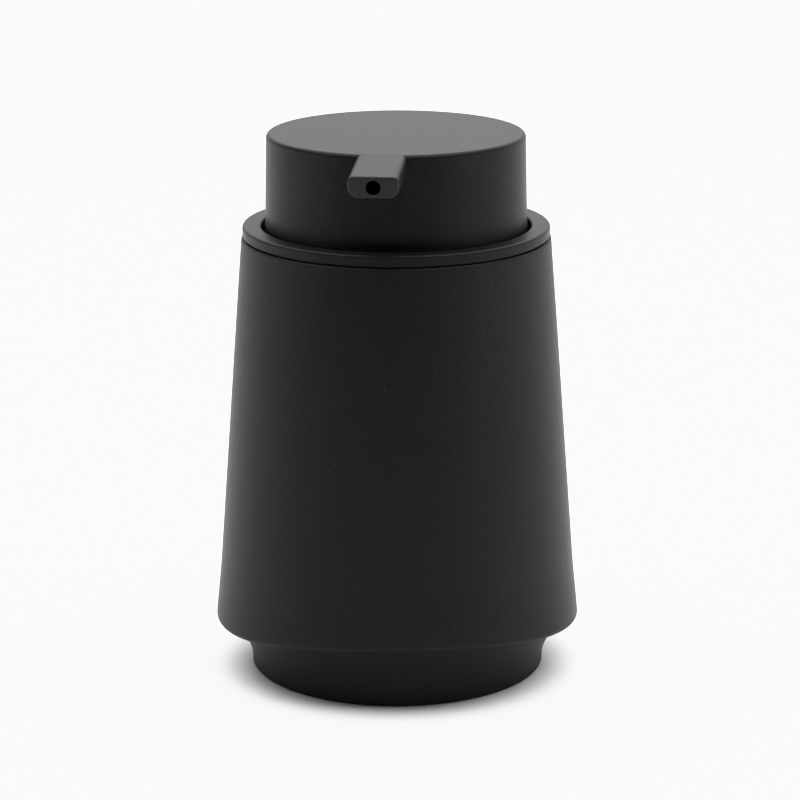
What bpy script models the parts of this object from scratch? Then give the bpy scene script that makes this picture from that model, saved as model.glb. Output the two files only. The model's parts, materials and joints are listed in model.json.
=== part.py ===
"""Counter-top soap dispenser: a tapered coated stoneware vessel on a round foot, and a push-fit lid
that carries a lotion pump, whose flat round head slides down inside the lid's well.

Metres, +Z up. The origin is the centre of the base pad's underside, and the spout points along -Y.
"""

import math

import bmesh
import bpy
from mathutils import Matrix

# Overall
TOTAL_HEIGHT = 0.1275
HEAD_RISE = 0.0243
STROKE = 0.012
SEAT_GAP = 0.0001
FIT_GAP = 0.0003
SLIDE_GAP = 0.0001
PRESS_GAP = 0.00005
OVERRUN = 0.002
MERGE = 0.00001

# Facets round each turned piece
VISIBLE_FACETS = 64
HIDDEN_FACETS = 36
PUMP_FACETS = 24
CORNER_STEPS = 3
COVE_STEPS = 4
SMOOTH_ANGLE = math.radians(32)

# Base pad
PAD_MARGIN = 0.0036
PAD_THICKNESS = 0.002
PAD_PROUD = 0.0001
PAD_EDGE = 0.0003

# Vessel: the outer wall tapers straight from the lip, and flares a little just over its lower edge
LIP_RADIUS = 0.03594
LIP_EDGE = 0.0005
EDGE_HEIGHT = 0.01345
EDGE_RADIUS = 0.04295
EDGE_FLARE = 0.0003
FLARE_TOP = 0.028
EDGE_ROUND = 0.00135
EDGE_ARCH = 0.0025
EDGE_ARCH_TURN = math.radians(10)
ARCH_FADE_TOP = 0.045
UNDERCUT_RISE = 0.0004
UNDERCUT_WIDTH = 0.001
FOOT_RADIUS = 0.0346
FOOT_EDGE = 0.0004
COVE_LAND = 0.0005
COVE_TURN = math.radians(50)
VESSEL_WALL = 0.0034
VESSEL_FLOOR = 0.0042
FLOOR_FILLET = 0.007
STEP_RISE = 0.0075
MOUTH_RADIUS = 0.0332
MOUTH_LAND = 0.0095
MOUTH_CHAMFER = 0.0004

# Lid: a trim ring over the flange of a well, with a seal round the well
COLLAR_RADIUS = 0.03563
COLLAR_INNER_RADIUS = 0.0312
COLLAR_HEIGHT = 0.0023
COLLAR_PLATE = 0.001
COLLAR_SKIRT = 0.0005
COLLAR_EDGE = 0.0004
WELL_INNER_RADIUS = 0.0312
WELL_WALL = 0.0012
WELL_FLOOR_THICKNESS = 0.0015
WELL_CORNER = 0.0012
SEAL_FLANGE = 0.0004
SEAL_FLANGE_RADIUS = 0.0349
SEAL_SLEEVE = 0.0003
SEAL_LENGTH = 0.0095
SEAL_LIPS = 3
SEAL_LIP_HEIGHT = 0.0012

# Pump housing, hung through the well's floor and held by a nut
BARREL_BORE_RADIUS = 0.0056
BARREL_RADIUS = 0.0068
BARREL_LENGTH = 0.0387
HOUSING_FLANGE_RADIUS = 0.0105
HOUSING_FLANGE = 0.0015
GASKET_THICKNESS = 0.001
NUT_HEIGHT = 0.006
NUT_CORNER_RADIUS = 0.0122
NUT_SIDES = 6
NUT_EDGE = 0.0005
BALL_CHAMBER_RADIUS = 0.0029
BALL_CHAMBER_WALL = 0.0012
INLET_HOLE_RADIUS = 0.0014
TUBE_SOCKET_DEPTH = 0.0075
TUBE_SOCKET_WALL = 0.0012

# Dip tube
TUBE_RADIUS = 0.0025
TUBE_BORE_RADIUS = 0.0017
TUBE_END_HEIGHT = 0.0095
TUBE_CUT = math.radians(30)

# Valve balls and the cage over the lower one
INLET_BALL_RADIUS = 0.00225
OUTLET_BALL_RADIUS = 0.0014
BALL_LIFT = 0.0012
BALL_SEGMENTS = 12
BALL_RINGS = 8
CAGE_FLANGE = 0.0012
CAGE_RADIUS = 0.0054
CAGE_BORE_RADIUS = 0.0024
CAGE_BAR = 0.0009

# Stem guide at the top of the housing, and the wiper in it
GUIDE_FLANGE_RADIUS = 0.0093
GUIDE_FLANGE = 0.0018
GUIDE_DEPTH = 0.0065
GUIDE_EDGE = 0.0004
WIPER_RADIUS = 0.0051
WIPER_DEPTH = 0.0013
WIPER_LIP = 0.0004

# Piston: a two-lipped seal on the stem, held from below by the rod's flange
PISTON_LENGTH = 0.0072
PISTON_LIP = 0.0012
PISTON_WAIST_RADIUS = 0.0046
ROD_FLANGE_RADIUS = 0.0043
ROD_FLANGE = 0.0013
ROD_BORE_RADIUS = 0.0009
ROD_LENGTH = 0.0094
ROD_RIM = 0.0002

# Return spring between the rod's flange and the cage
SPRING_WIRE_RADIUS = 0.0004
SPRING_RADIUS = 0.0037
SPRING_END_PITCH = 0.00125
SPRING_END_TURNS = 1
SPRING_LIVE_TURNS = 7
SPRING_POINTS_PER_TURN = 8

# Stem
STEM_RADIUS = 0.00325
STEM_NECK_RADIUS = 0.0029
STEM_BORE_RADIUS = 0.0019
STEM_DROP = 0.0065
STOP_BAR = 0.0008

# Head: a flat cap moulded in one with its spout
CAP_TOP_RADIUS = 0.02987
CAP_RIM_RADIUS = 0.03044
CAP_OVERLAP = 0.0051
CAP_FLOOR_GAP = 0.001
CAP_EDGE = 0.001
CAP_WALL = 0.0018
CAP_CROWN = 0.002
CAP_RIM_EDGE = 0.0004
SPOUT_REACH = 0.0463
SPOUT_WIDTH = 0.0112
SPOUT_HEIGHT = 0.0049
SPOUT_DROP = 0.00012
SPOUT_SLOPE = math.radians(5.2)
SPOUT_SEAT = 0.0013
SPOUT_TOP_CORNER = 0.00125
SPOUT_BOTTOM_CORNER = 0.0023
SPOUT_END_EDGE = 0.00045
SPOUT_BORE_RADIUS = 0.00165
SPOUT_CORNER_STEPS = 4

# Outlet core: the stem's socket and the channel from it to the spout
CORE_RADIUS = 0.0052
CORE_DEPTH = 0.0155
CHANNEL_RADIUS = 0.002
CHANNEL_BORE_RADIUS = 0.0013
CHANNEL_DROP = 0.0042
CHANNEL_PLUG = 0.007
BOSS_WALL = 0.0009
BOSS_LENGTH = 0.0065
LOCATING_RING_WALL = 0.0012
LOCATING_RING_DEPTH = 0.003

# Worked out from the sizes above
LIP_TOP = TOTAL_HEIGHT - HEAD_RISE
FOOT_BOTTOM = PAD_PROUD
PAD_RADIUS = FOOT_RADIUS - PAD_MARGIN
COVE_BOTTOM = FOOT_BOTTOM + FOOT_EDGE + COVE_LAND
COVE_TOP = EDGE_HEIGHT + UNDERCUT_RISE
PAD_RECESS_RADIUS = PAD_RADIUS + FIT_GAP
PAD_RECESS_TOP = PAD_THICKNESS + FIT_GAP
FLOOR_TOP = PAD_RECESS_TOP + VESSEL_FLOOR
TAPER_SLOPE = (EDGE_RADIUS - EDGE_FLARE - LIP_RADIUS) / (LIP_TOP - EDGE_HEIGHT)
SEAL_FLANGE_BOTTOM = LIP_TOP + SEAT_GAP
COLLAR_BOTTOM = SEAL_FLANGE_BOTTOM + SEAL_FLANGE + SEAT_GAP
COLLAR_TOP = COLLAR_BOTTOM + COLLAR_HEIGHT
COLLAR_PLATE_BOTTOM = COLLAR_TOP - COLLAR_PLATE
CAP_BOTTOM = COLLAR_TOP - CAP_OVERLAP
WELL_OUTER_RADIUS = WELL_INNER_RADIUS + WELL_WALL
WELL_FLANGE_RADIUS = COLLAR_RADIUS - COLLAR_SKIRT - SLIDE_GAP
WELL_FLOOR_TOP = CAP_BOTTOM - STROKE - CAP_FLOOR_GAP
WELL_FLOOR_BOTTOM = WELL_FLOOR_TOP - WELL_FLOOR_THICKNESS
SEAL_INNER_RADIUS = WELL_OUTER_RADIUS + SLIDE_GAP
SEAL_LIP_RADIUS = MOUTH_RADIUS - SLIDE_GAP
GASKET_BOTTOM = WELL_FLOOR_TOP + SEAT_GAP
FLANGE_BOTTOM = GASKET_BOTTOM + GASKET_THICKNESS + SEAT_GAP
HOUSING_TOP = FLANGE_BOTTOM + HOUSING_FLANGE
BARREL_FLOOR = HOUSING_TOP - BARREL_LENGTH
GUIDE_BOTTOM = HOUSING_TOP - GUIDE_DEPTH
GUIDE_TOP = HOUSING_TOP + SEAT_GAP + GUIDE_FLANGE
STEM_HOLE_RADIUS = STEM_RADIUS + SLIDE_GAP
PISTON_TOP = GUIDE_BOTTOM - SEAT_GAP
PISTON_BOTTOM = PISTON_TOP - PISTON_LENGTH
ROD_FLANGE_TOP = PISTON_BOTTOM - SEAT_GAP
ROD_FLANGE_BOTTOM = ROD_FLANGE_TOP - ROD_FLANGE
STEM_BOTTOM = ROD_FLANGE_TOP + SEAT_GAP
STEM_SHOULDER = PISTON_TOP - PISTON_LIP
ROD_TOP = ROD_FLANGE_TOP + ROD_LENGTH
CAGE_BOTTOM = BARREL_FLOOR + SEAT_GAP
CAGE_TOP = CAGE_BOTTOM + CAGE_FLANGE
SPRING_BOTTOM = CAGE_TOP + SEAT_GAP
SPRING_TOP = ROD_FLANGE_BOTTOM - SEAT_GAP
STEM_TOP = TOTAL_HEIGHT - STEM_DROP
ROOT_TWO = math.sqrt(2)
BALL_STOP_GAP = SEAT_GAP
INLET_BALL_CENTRE = CAGE_BOTTOM - BALL_LIFT - BALL_STOP_GAP - INLET_BALL_RADIUS
INLET_SEAT_APEX = INLET_BALL_CENTRE - (INLET_BALL_RADIUS + SEAT_GAP) * ROOT_TWO
SOCKET_TOP = INLET_SEAT_APEX + INLET_HOLE_RADIUS - CAGE_FLANGE
TUBE_SOCKET_RADIUS = TUBE_RADIUS + SLIDE_GAP
TUBE_TOP = SOCKET_TOP - SEAT_GAP
ROD_RADIUS = STEM_BORE_RADIUS - PRESS_GAP
OUTLET_SEAT_RADIUS = ROD_RADIUS - ROD_RIM
OUTLET_SEAT_APEX = ROD_TOP - OUTLET_SEAT_RADIUS
OUTLET_BALL_CENTRE = OUTLET_SEAT_APEX + (OUTLET_BALL_RADIUS + SEAT_GAP) * ROOT_TWO
OUTLET_STOP = OUTLET_BALL_CENTRE + OUTLET_BALL_RADIUS + BALL_LIFT + BALL_STOP_GAP
CAP_CEILING = TOTAL_HEIGHT - CAP_CROWN
CAP_INNER_RADIUS = CAP_RIM_RADIUS - CAP_WALL
SPOUT_TOP = TOTAL_HEIGHT - SPOUT_DROP
SPOUT_LENGTH = (SPOUT_REACH - CAP_TOP_RADIUS) / math.cos(SPOUT_SLOPE)
BOSS_END = CAP_TOP_RADIUS - CAP_WALL - CAP_EDGE - BOSS_LENGTH
CHANNEL_CENTRE = SPOUT_TOP - CHANNEL_DROP
CHANNEL_END = BOSS_END + CHANNEL_PLUG
CHANNEL_SOCKET_RADIUS = CHANNEL_RADIUS + SLIDE_GAP
CORE_TOP = CAP_CEILING - FIT_GAP
CORE_BOTTOM = TOTAL_HEIGHT - CORE_DEPTH
CORE_SOCKET_TOP = STEM_TOP + SEAT_GAP

# Finishes: colour, roughness, metallic
SOFT_TOUCH = (0.022, 0.022, 0.023), 0.62, 0.0
BLACK_PLASTIC = (0.012, 0.012, 0.013), 0.5, 0.0
BLACK_RUBBER = (0.01, 0.01, 0.01), 0.8, 0.0
NATURAL_PLASTIC = (0.78, 0.79, 0.77), 0.42, 0.0
SOFT_PLASTIC = (0.86, 0.87, 0.86), 0.5, 0.0
STEEL = (0.62, 0.62, 0.63), 0.25, 1.0


def clear_scene():
    for obj in list(bpy.data.objects):
        bpy.data.objects.remove(obj, do_unlink=True)
    for collection in list(bpy.data.collections):
        bpy.data.collections.remove(collection)


def new_collection(name):
    collection = bpy.data.collections.new(name)
    bpy.context.scene.collection.children.link(collection)
    return collection


def new_material(name, finish):
    colour, roughness, metallic = finish
    material = bpy.data.materials.new(name)
    material.use_nodes = True
    shader = material.node_tree.nodes["Principled BSDF"]
    shader.inputs["Base Color"].default_value = (*colour, 1)
    shader.inputs["Roughness"].default_value = roughness
    shader.inputs["Metallic"].default_value = metallic
    material.diffuse_color = (*colour, 1)
    return material


def new_object(name, data, collection, finish=None):
    obj = bpy.data.objects.new(name, data)
    collection.objects.link(obj)
    if finish:
        data.materials.append(new_material(name, finish))
    return obj


def arc(centre_r, centre_z, radius, start, end, steps=CORNER_STEPS):
    """Points of an arc in the (radius, height) plane, angles in degrees from +R towards +Z."""
    angles = [math.radians(start + (end - start) * i / steps) for i in range(steps + 1)]
    return [(centre_r + radius * math.cos(a), centre_z + radius * math.sin(a)) for a in angles]


def turned(name, outline, collection, facets, finish=None, closed=True):
    """A turned piece. The outline runs down its outer side; an open one starts and ends on the axis."""
    count = len(outline)
    edges = [(i, (i + 1) % count) for i in range(count if closed else count - 1)]
    mesh = bpy.data.meshes.new(name)
    mesh.from_pydata([(r, 0, z) for r, z in outline], edges, [])
    obj = new_object(name, mesh, collection, finish)
    screw = obj.modifiers.new("turn", "SCREW")
    screw.steps = screw.render_steps = facets
    screw.use_merge_vertices = True
    screw.merge_threshold = MERGE
    return obj


def cylinder(name, radius, start, end, collection, facets, axis="Z", offset=(0, 0)):
    """A cylinder from start to end along an axis, which passes through offset on the other two."""
    mesh = bpy.data.meshes.new(name)
    shape = bmesh.new()
    bmesh.ops.create_cone(
        shape, cap_ends=True, segments=facets, radius1=radius, radius2=radius, depth=abs(end - start)
    )
    shape.to_mesh(mesh)
    shape.free()
    obj = new_object(name, mesh, collection)
    middle = (start + end) / 2
    if axis == "Z":
        obj.location = (*offset, middle)
    else:
        obj.rotation_euler.x = math.pi / 2
        obj.location = (offset[0], middle, offset[1])
    return obj


def block(name, size, centre, collection):
    mesh = bpy.data.meshes.new(name)
    shape = bmesh.new()
    bmesh.ops.create_cube(shape, size=1, matrix=Matrix.Diagonal((*size, 1)))
    shape.to_mesh(mesh)
    shape.free()
    obj = new_object(name, mesh, collection)
    obj.location = centre
    return obj


def boolean(obj, other, operation):
    modifier = obj.modifiers.new(other.name, "BOOLEAN")
    modifier.operation = operation
    modifier.object = other
    other.hide_render = True
    other.display_type = "WIRE"


def bake(obj):
    """Replaces the object's mesh by the evaluated one, and clears its modifiers."""
    bpy.context.view_layer.update()
    graph = bpy.context.evaluated_depsgraph_get()
    mesh = bpy.data.meshes.new_from_object(obj.evaluated_get(graph))
    mesh.name = obj.name
    obj.modifiers.clear()
    obj.data = mesh


def wall_radius(height):
    """The vessel's outer radius at a height: the taper, and the flare that eases in below its top."""
    share = min(1, max(0, (FLARE_TOP - height) / (FLARE_TOP - EDGE_HEIGHT)))
    flare = EDGE_FLARE * share * share * (3 - 2 * share)
    return LIP_RADIUS + TAPER_SLOPE * (LIP_TOP - height) + flare


def vessel_inside():
    """The vessel's inner outline: into the foot, out over its step, and up to the mouth."""
    foot_inner = FOOT_RADIUS - VESSEL_WALL
    step_bottom = COVE_TOP + EDGE_ARCH
    step_top = step_bottom + STEP_RISE
    wall_inner = wall_radius(step_top) - VESSEL_WALL
    step_width = wall_inner - foot_inner
    land_bottom = LIP_TOP - MOUTH_LAND
    shoulder = land_bottom - 2 * VESSEL_WALL
    return [
        (0, FLOOR_TOP),
        *arc(foot_inner - FLOOR_FILLET, FLOOR_TOP + FLOOR_FILLET, FLOOR_FILLET, -90, 0),
        (foot_inner, step_bottom),
        (foot_inner + step_width / 2, step_bottom + STEP_RISE / 2),
        (wall_inner, step_top),
        (wall_radius(shoulder) - VESSEL_WALL, shoulder),
        (MOUTH_RADIUS, land_bottom),
        (MOUTH_RADIUS, LIP_TOP - MOUTH_CHAMFER),
    ]


def edge_centre():
    """The middle of the lower edge's rounding, as a radius and a height."""
    height = EDGE_HEIGHT + EDGE_ROUND
    return wall_radius(height) - EDGE_ROUND, height


def foot_cove():
    """The foot's side, which flares outward in one long curve up to the lower edge's undercut."""
    width = edge_centre()[0] - UNDERCUT_WIDTH - FOOT_RADIUS
    turns = [COVE_TURN * (1 - i / COVE_STEPS) for i in range(COVE_STEPS + 1)]
    return [
        (
            FOOT_RADIUS + width * (1 - math.cos(turn)) / (1 - math.cos(COVE_TURN)),
            COVE_BOTTOM + (COVE_TOP - COVE_BOTTOM) * math.sin(turn) / math.sin(COVE_TURN),
        )
        for turn in turns
    ]


def vessel_outside():
    """The lip, the tapered wall, the lower edge, the undercut, the foot and the recess for the pad."""
    edge_radius, edge_top = edge_centre()
    flare_middle = (edge_top + FLARE_TOP) / 2
    return [
        (MOUTH_RADIUS + MOUTH_CHAMFER, LIP_TOP),
        *arc(LIP_RADIUS - LIP_EDGE, LIP_TOP - LIP_EDGE, LIP_EDGE, 90, 0),
        (wall_radius(ARCH_FADE_TOP), ARCH_FADE_TOP),
        (wall_radius(FLARE_TOP), FLARE_TOP),
        (wall_radius(flare_middle), flare_middle),
        *arc(edge_radius, edge_top, EDGE_ROUND, 0, -90, CORNER_STEPS + 1),
        *foot_cove(),
        *arc(FOOT_RADIUS - FOOT_EDGE, FOOT_BOTTOM + FOOT_EDGE, FOOT_EDGE, 0, -90),
        (PAD_RECESS_RADIUS, FOOT_BOTTOM),
        (PAD_RECESS_RADIUS, PAD_RECESS_TOP),
        (0, PAD_RECESS_TOP),
    ]


def arch_share(radius, height):
    """How much of the lower edge's arch a point of the outline takes, from 0 to 1."""
    edge_radius, edge_top = edge_centre()
    if radius < FOOT_RADIUS - MERGE or height > ARCH_FADE_TOP:
        return 0
    if height < COVE_TOP + MERGE and radius < edge_radius - UNDERCUT_WIDTH + MERGE:
        return max(0, (height - COVE_BOTTOM) / (COVE_TOP - COVE_BOTTOM))
    if height > COVE_TOP + MERGE and radius < wall_radius(height) - VESSEL_WALL / 2:
        return 0
    return min(1, (ARCH_FADE_TOP - height) / (ARCH_FADE_TOP - edge_top))


def arch_lower_edge(obj):
    """Lifts the lower edge at the front and back and drops it at the sides, along the taper."""
    for vertex in obj.data.vertices:
        x, y, z = vertex.co
        radius = math.hypot(x, y)
        share = arch_share(radius, z)
        if share == 0:
            continue
        turn = math.atan2(x, -y) - EDGE_ARCH_TURN
        lift = EDGE_ARCH * share * math.cos(2 * turn)
        on_wall = z > COVE_TOP + MERGE or radius > wall_radius(z) - EDGE_ROUND
        stretch = (radius - TAPER_SLOPE * lift) / radius if on_wall else 1
        vertex.co = (x * stretch, y * stretch, z + lift)


def make_vessel(parts):
    outline = vessel_inside() + vessel_outside()
    vessel = turned("vessel_body", outline, parts, VISIBLE_FACETS, SOFT_TOUCH, closed=False)
    bake(vessel)
    arch_lower_edge(vessel)
    pad_outline = [
        (0, PAD_THICKNESS),
        *arc(PAD_RADIUS - PAD_EDGE, PAD_THICKNESS - PAD_EDGE, PAD_EDGE, 90, 0, 1),
        *arc(PAD_RADIUS - PAD_EDGE, PAD_EDGE, PAD_EDGE, 0, -90, 1),
        (0, 0),
    ]
    pad = turned("base_pad", pad_outline, parts, HIDDEN_FACETS, BLACK_RUBBER, closed=False)
    return [vessel, pad]


def make_collar_ring(parts):
    skirt_inner = COLLAR_RADIUS - COLLAR_SKIRT
    outline = [
        (COLLAR_INNER_RADIUS, COLLAR_PLATE_BOTTOM),
        *arc(COLLAR_INNER_RADIUS + COLLAR_EDGE, COLLAR_TOP - COLLAR_EDGE, COLLAR_EDGE, 180, 90, 2),
        *arc(COLLAR_RADIUS - COLLAR_EDGE, COLLAR_TOP - COLLAR_EDGE, COLLAR_EDGE, 90, 0),
        (COLLAR_RADIUS, COLLAR_BOTTOM),
        (skirt_inner, COLLAR_BOTTOM),
        (skirt_inner, COLLAR_PLATE_BOTTOM),
    ]
    return turned("collar_ring", outline, parts, VISIBLE_FACETS, SOFT_TOUCH)


def make_well(parts):
    """The lid's moulding: flange, sleeve and floor, with a hole for the pump's barrel."""
    hole = BARREL_RADIUS + SLIDE_GAP
    flange_top = COLLAR_PLATE_BOTTOM - SEAT_GAP
    inner_corner = WELL_CORNER - WELL_FLOOR_THICKNESS + WELL_WALL
    outline = [
        (hole, WELL_FLOOR_TOP),
        *arc(WELL_INNER_RADIUS - inner_corner, WELL_FLOOR_TOP + inner_corner, inner_corner, -90, 0, 2),
        (WELL_INNER_RADIUS, flange_top),
        (WELL_FLANGE_RADIUS, flange_top),
        (WELL_FLANGE_RADIUS, COLLAR_BOTTOM),
        (WELL_OUTER_RADIUS, COLLAR_BOTTOM),
        *arc(WELL_OUTER_RADIUS - WELL_CORNER, WELL_FLOOR_BOTTOM + WELL_CORNER, WELL_CORNER, 0, -90, 2),
        (hole, WELL_FLOOR_BOTTOM),
    ]
    return turned("well_insert", outline, parts, HIDDEN_FACETS, BLACK_PLASTIC)


def make_mouth_seal(parts):
    """A flange on the vessel's lip and a sleeve whose lips wipe the mouth."""
    sleeve = SEAL_INNER_RADIUS + SEAL_SLEEVE
    flange_top = SEAL_FLANGE_BOTTOM + SEAL_FLANGE
    bottom = SEAL_FLANGE_BOTTOM - SEAL_LENGTH
    pitch = SEAL_LENGTH / (SEAL_LIPS + 1)
    outline = [
        (SEAL_INNER_RADIUS, flange_top),
        (SEAL_FLANGE_RADIUS, flange_top),
        (SEAL_FLANGE_RADIUS, SEAL_FLANGE_BOTTOM),
        (sleeve, SEAL_FLANGE_BOTTOM),
    ]
    for i in range(SEAL_LIPS):
        lip = SEAL_FLANGE_BOTTOM - (i + 1) * pitch
        lip_top, lip_bottom = lip + SEAL_LIP_HEIGHT / 2, lip - SEAL_LIP_HEIGHT / 2
        outline += [(sleeve, lip_top), (SEAL_LIP_RADIUS, lip), (sleeve, lip_bottom)]
    outline += [(sleeve, bottom), (SEAL_INNER_RADIUS, bottom)]
    return turned("mouth_seal", outline, parts, HIDDEN_FACETS, BLACK_RUBBER)


def make_housing(parts):
    """Flange, barrel, ball chamber with its seat, and the socket for the dip tube."""
    chamber_outer = BALL_CHAMBER_RADIUS + BALL_CHAMBER_WALL
    barrel_bottom = BARREL_FLOOR - BALL_CHAMBER_WALL
    barrel_foot = BARREL_RADIUS - BALL_CHAMBER_WALL
    socket_outer = TUBE_SOCKET_RADIUS + TUBE_SOCKET_WALL
    socket_bottom = SOCKET_TOP - TUBE_SOCKET_DEPTH
    outline = [
        (BARREL_BORE_RADIUS, HOUSING_TOP),
        (HOUSING_FLANGE_RADIUS, HOUSING_TOP),
        (HOUSING_FLANGE_RADIUS, FLANGE_BOTTOM),
        (BARREL_RADIUS, FLANGE_BOTTOM),
        (BARREL_RADIUS, BARREL_FLOOR),
        (barrel_foot, barrel_bottom),
        (chamber_outer, barrel_bottom),
        (socket_outer, SOCKET_TOP),
        (socket_outer, socket_bottom),
        (TUBE_SOCKET_RADIUS, socket_bottom),
        (TUBE_SOCKET_RADIUS, SOCKET_TOP),
        (INLET_HOLE_RADIUS, SOCKET_TOP),
        (INLET_HOLE_RADIUS, INLET_SEAT_APEX + INLET_HOLE_RADIUS),
        (BALL_CHAMBER_RADIUS, INLET_SEAT_APEX + BALL_CHAMBER_RADIUS),
        (BALL_CHAMBER_RADIUS, BARREL_FLOOR),
        (BARREL_BORE_RADIUS, BARREL_FLOOR),
    ]
    return turned("pump_housing", outline, parts, PUMP_FACETS, NATURAL_PLASTIC)


def make_gasket(parts):
    inner = BARREL_RADIUS + SLIDE_GAP
    outline = [
        (inner, GASKET_BOTTOM + GASKET_THICKNESS),
        (HOUSING_FLANGE_RADIUS, GASKET_BOTTOM + GASKET_THICKNESS),
        (HOUSING_FLANGE_RADIUS, GASKET_BOTTOM),
        (inner, GASKET_BOTTOM),
    ]
    return turned("housing_gasket", outline, parts, PUMP_FACETS, BLACK_RUBBER)


def make_nut(parts, cutters):
    top = WELL_FLOOR_BOTTOM - SEAT_GAP
    nut = cylinder("closure_nut", NUT_CORNER_RADIUS, top - NUT_HEIGHT, top, parts, NUT_SIDES)
    nut.data.materials.append(new_material("closure_nut", BLACK_PLASTIC))
    bevel = nut.modifiers.new("edges", "BEVEL")
    bevel.width = NUT_EDGE
    bore_radius = BARREL_RADIUS + SLIDE_GAP
    bottom = top - NUT_HEIGHT
    bore = cylinder("nut_bore", bore_radius, bottom - OVERRUN, top + OVERRUN, cutters, PUMP_FACETS)
    boolean(nut, bore, "DIFFERENCE")
    return nut


def make_cage(parts, cutters):
    """A washer under the spring, whose bar stops the inlet ball and lets the soap past."""
    outline = [
        (CAGE_BORE_RADIUS, CAGE_TOP),
        (CAGE_RADIUS, CAGE_TOP),
        (CAGE_RADIUS, CAGE_BOTTOM),
        (CAGE_BORE_RADIUS, CAGE_BOTTOM),
    ]
    cage = turned("ball_cage", outline, parts, PUMP_FACETS, NATURAL_PLASTIC)
    size = (CAGE_BORE_RADIUS + CAGE_RADIUS, CAGE_BAR, CAGE_BAR)
    bar = block("cage_bar", size, (0, 0, CAGE_BOTTOM + CAGE_BAR / 2), cutters)
    boolean(cage, bar, "UNION")
    return cage


def make_dip_tube(parts, cutters):
    outline = [
        (TUBE_BORE_RADIUS, TUBE_TOP),
        (TUBE_RADIUS, TUBE_TOP),
        (TUBE_RADIUS, TUBE_END_HEIGHT),
        (TUBE_BORE_RADIUS, TUBE_END_HEIGHT),
    ]
    tube = turned("dip_tube", outline, parts, PUMP_FACETS, SOFT_PLASTIC)
    reach = TUBE_RADIUS * math.tan(TUBE_CUT)
    side = 4 * TUBE_RADIUS
    drop = side / 2 / math.cos(TUBE_CUT)
    cutter = block("tube_cut", (side, side, side), (0, 0, TUBE_END_HEIGHT + reach - drop), cutters)
    cutter.rotation_euler.x = TUBE_CUT
    boolean(tube, cutter, "DIFFERENCE")
    return tube


def make_ball(name, radius, centre, parts):
    mesh = bpy.data.meshes.new(name)
    shape = bmesh.new()
    bmesh.ops.create_uvsphere(shape, u_segments=BALL_SEGMENTS, v_segments=BALL_RINGS, radius=radius)
    shape.to_mesh(mesh)
    shape.free()
    ball = new_object(name, mesh, parts, STEEL)
    ball.location.z = centre
    return ball


def make_guide(parts):
    """The stem guide: a flange on the housing, a sleeve down its bore, and a pocket for the wiper."""
    sleeve = BARREL_BORE_RADIUS - SLIDE_GAP
    pocket = WIPER_RADIUS + SLIDE_GAP
    pocket_floor = GUIDE_TOP - WIPER_DEPTH
    flange_bottom = HOUSING_TOP + SEAT_GAP
    outline = [
        (STEM_HOLE_RADIUS, pocket_floor),
        (pocket, pocket_floor),
        (pocket, GUIDE_TOP),
        *arc(GUIDE_FLANGE_RADIUS - GUIDE_EDGE, GUIDE_TOP - GUIDE_EDGE, GUIDE_EDGE, 90, 0, 1),
        (GUIDE_FLANGE_RADIUS, flange_bottom),
        (sleeve, flange_bottom),
        (sleeve, GUIDE_BOTTOM),
        (STEM_HOLE_RADIUS, GUIDE_BOTTOM),
    ]
    return turned("stem_guide", outline, parts, PUMP_FACETS, NATURAL_PLASTIC)


def make_wiper(parts):
    bottom = GUIDE_TOP - WIPER_DEPTH + SEAT_GAP
    body = STEM_HOLE_RADIUS + WIPER_LIP
    outline = [
        (body, GUIDE_TOP - WIPER_LIP),
        (WIPER_RADIUS, GUIDE_TOP - WIPER_LIP),
        (WIPER_RADIUS, bottom),
        (body, bottom),
        (STEM_HOLE_RADIUS, bottom + WIPER_LIP),
    ]
    return turned("stem_wiper", outline, parts, PUMP_FACETS, BLACK_RUBBER)


def make_piston(parts):
    """A soft sleeve on the stem's neck with a lip that spreads against the bore at each end."""
    bore = STEM_NECK_RADIUS + SLIDE_GAP
    shoulder_bore = STEM_HOLE_RADIUS
    lip = BARREL_BORE_RADIUS - SLIDE_GAP
    groove = (lip + PISTON_WAIST_RADIUS) / 2
    outline = [
        (shoulder_bore, PISTON_TOP),
        (PISTON_WAIST_RADIUS, PISTON_TOP),
        (groove, PISTON_TOP - PISTON_LIP / 2),
        (lip, PISTON_TOP - PISTON_LIP / 3),
        (lip, PISTON_TOP - PISTON_LIP),
        (PISTON_WAIST_RADIUS, PISTON_TOP - 2 * PISTON_LIP),
        (PISTON_WAIST_RADIUS, PISTON_BOTTOM + 2 * PISTON_LIP),
        (lip, PISTON_BOTTOM + PISTON_LIP),
        (lip, PISTON_BOTTOM),
        (groove, PISTON_BOTTOM + PISTON_LIP / 2),
        (PISTON_WAIST_RADIUS, PISTON_BOTTOM),
        (bore, PISTON_BOTTOM),
        (bore, STEM_SHOULDER - SEAT_GAP),
        (shoulder_bore, STEM_SHOULDER - SEAT_GAP),
    ]
    return turned("piston_seal", outline, parts, PUMP_FACETS, SOFT_PLASTIC)


def make_rod(parts):
    """The hollow rod in the stem's lower end: its flange takes the spring, its top seats the ball."""
    outline = [
        (ROD_BORE_RADIUS, OUTLET_SEAT_APEX + ROD_BORE_RADIUS),
        (OUTLET_SEAT_RADIUS, ROD_TOP),
        (ROD_RADIUS, ROD_TOP),
        (ROD_RADIUS, ROD_FLANGE_TOP),
        (ROD_FLANGE_RADIUS, ROD_FLANGE_TOP),
        (ROD_FLANGE_RADIUS, ROD_FLANGE_BOTTOM),
        (ROD_BORE_RADIUS, ROD_FLANGE_BOTTOM),
    ]
    return turned("piston_rod", outline, parts, PUMP_FACETS, NATURAL_PLASTIC)


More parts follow.
